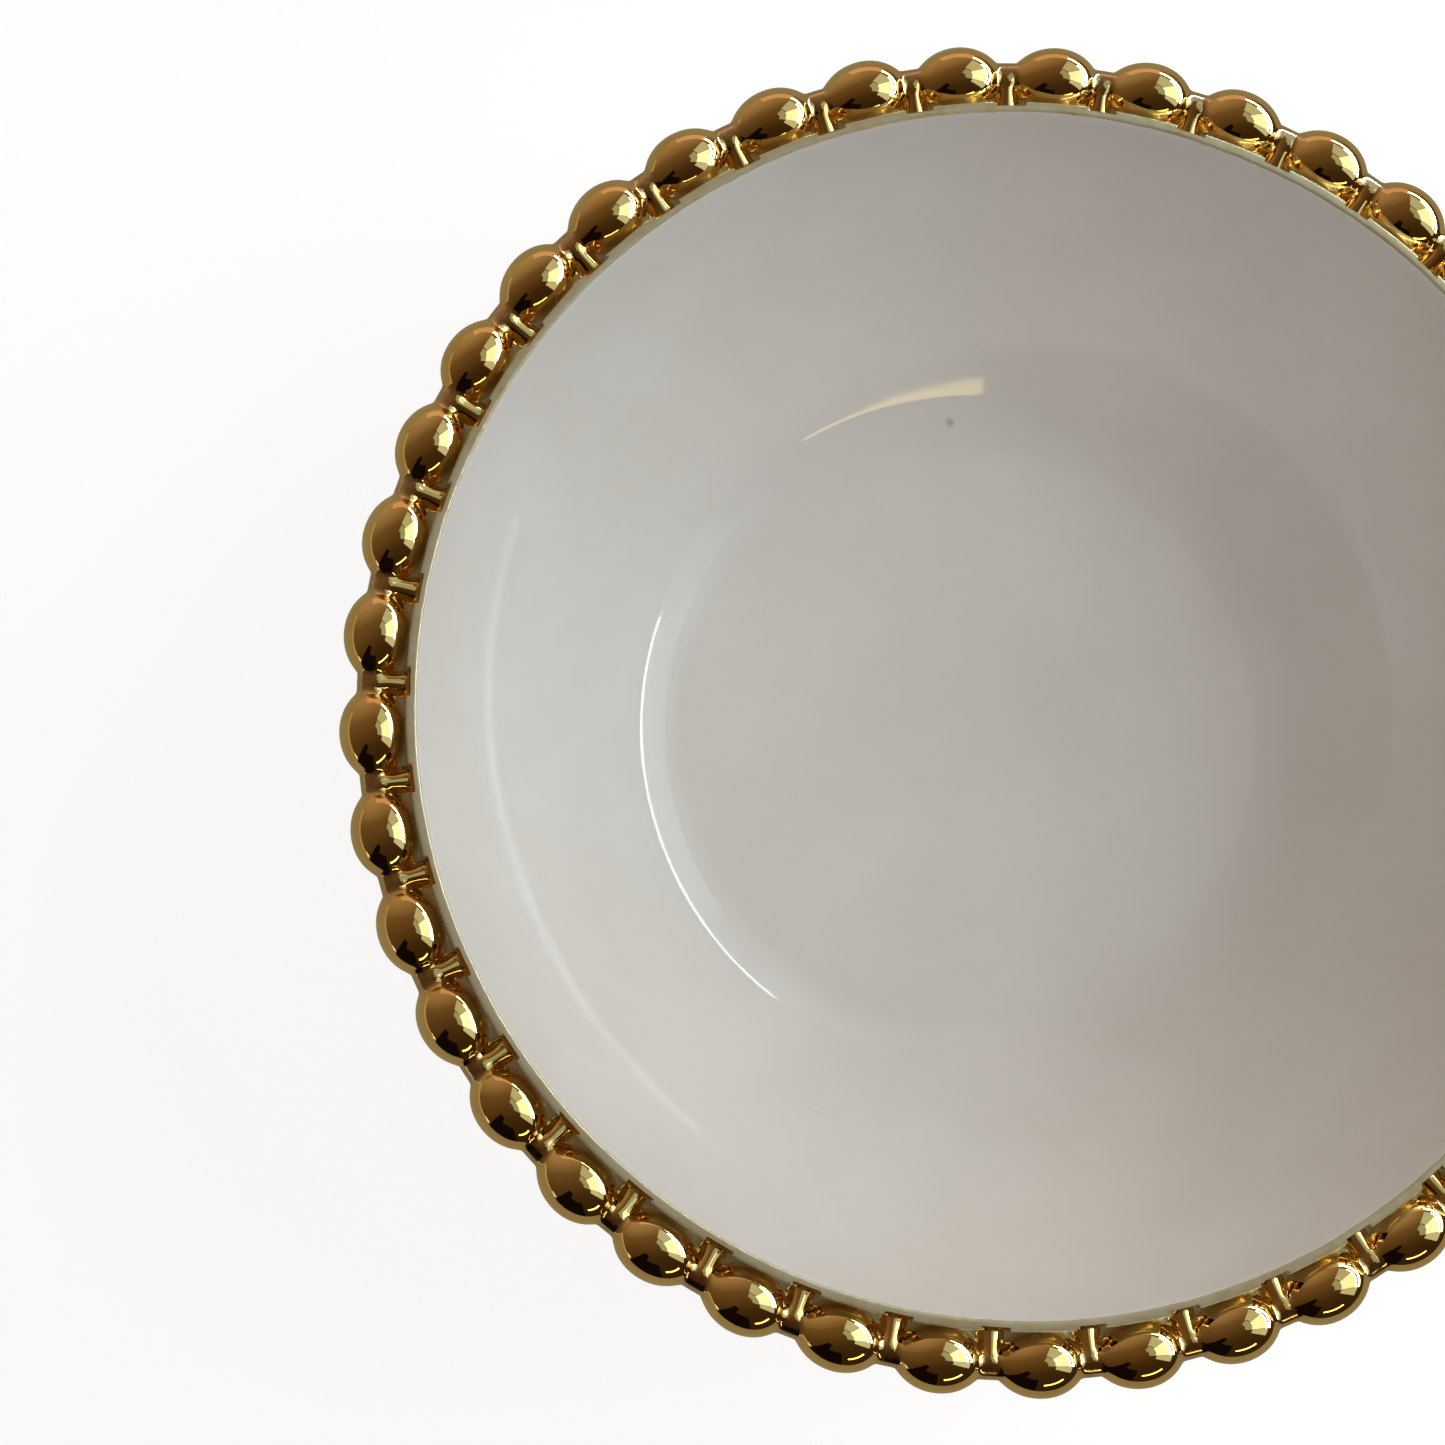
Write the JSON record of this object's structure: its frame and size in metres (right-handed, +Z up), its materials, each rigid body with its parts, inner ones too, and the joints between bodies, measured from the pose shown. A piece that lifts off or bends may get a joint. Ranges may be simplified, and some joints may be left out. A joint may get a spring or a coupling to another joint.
{
  "type": "serving bowl",
  "caption": "Round white porcelain serving bowl with a deep glazed inside, a gilded lip, a string of round gold beads around the rim, and a foot ring to stand on.",
  "frame": {"origin": "middle of the bowl on the surface it stands on", "axes": "+Z up along the bowl's axis; +X and +Y lie in the standing plane and the first bead is a few degrees round from +X"},
  "size_m": [0.2538, 0.2537, 0.078],
  "materials": {
    "porcelain": "fired white porcelain body, hidden between the glaze coats",
    "white_glaze": "smooth glossy white glaze with a faint warm cast",
    "bare_foot": "white glaze on its sides, bare matt biscuit on the standing edge",
    "rim_gold": "bright mirror gold lustre with a slightly uneven inner edge",
    "bead_gold": "bright mirror gold lustre, lightly worn at the necks"
  },
  "bodies": {
    "root": {"bowl_body": "porcelain", "inner_glaze": "white_glaze", "outer_glaze": "white_glaze", "base_glaze": "white_glaze", "foot_ring": "bare_foot", "rim_band": "rim_gold", "bead_01": "bead_gold", "bead_02": "bead_gold", "bead_03": "bead_gold", "bead_04": "bead_gold", "bead_05": "bead_gold", "bead_06": "bead_gold", "bead_07": "bead_gold", "bead_08": "bead_gold", "bead_09": "bead_gold", "bead_10": "bead_gold", "bead_11": "bead_gold", "bead_12": "bead_gold", "bead_13": "bead_gold", "bead_14": "bead_gold", "bead_15": "bead_gold", "bead_16": "bead_gold", "bead_17": "bead_gold", "bead_18": "bead_gold", "bead_19": "bead_gold", "bead_20": "bead_gold", "bead_21": "bead_gold", "bead_22": "bead_gold", "bead_23": "bead_gold", "bead_24": "bead_gold", "bead_25": "bead_gold", "bead_26": "bead_gold", "bead_27": "bead_gold", "bead_28": "bead_gold", "bead_29": "bead_gold", "bead_30": "bead_gold", "bead_31": "bead_gold", "bead_32": "bead_gold", "bead_33": "bead_gold", "bead_34": "bead_gold", "bead_35": "bead_gold", "bead_36": "bead_gold", "bead_37": "bead_gold", "bead_38": "bead_gold", "bead_39": "bead_gold", "bead_40": "bead_gold", "bead_41": "bead_gold"}
  },
  "joints": []
}
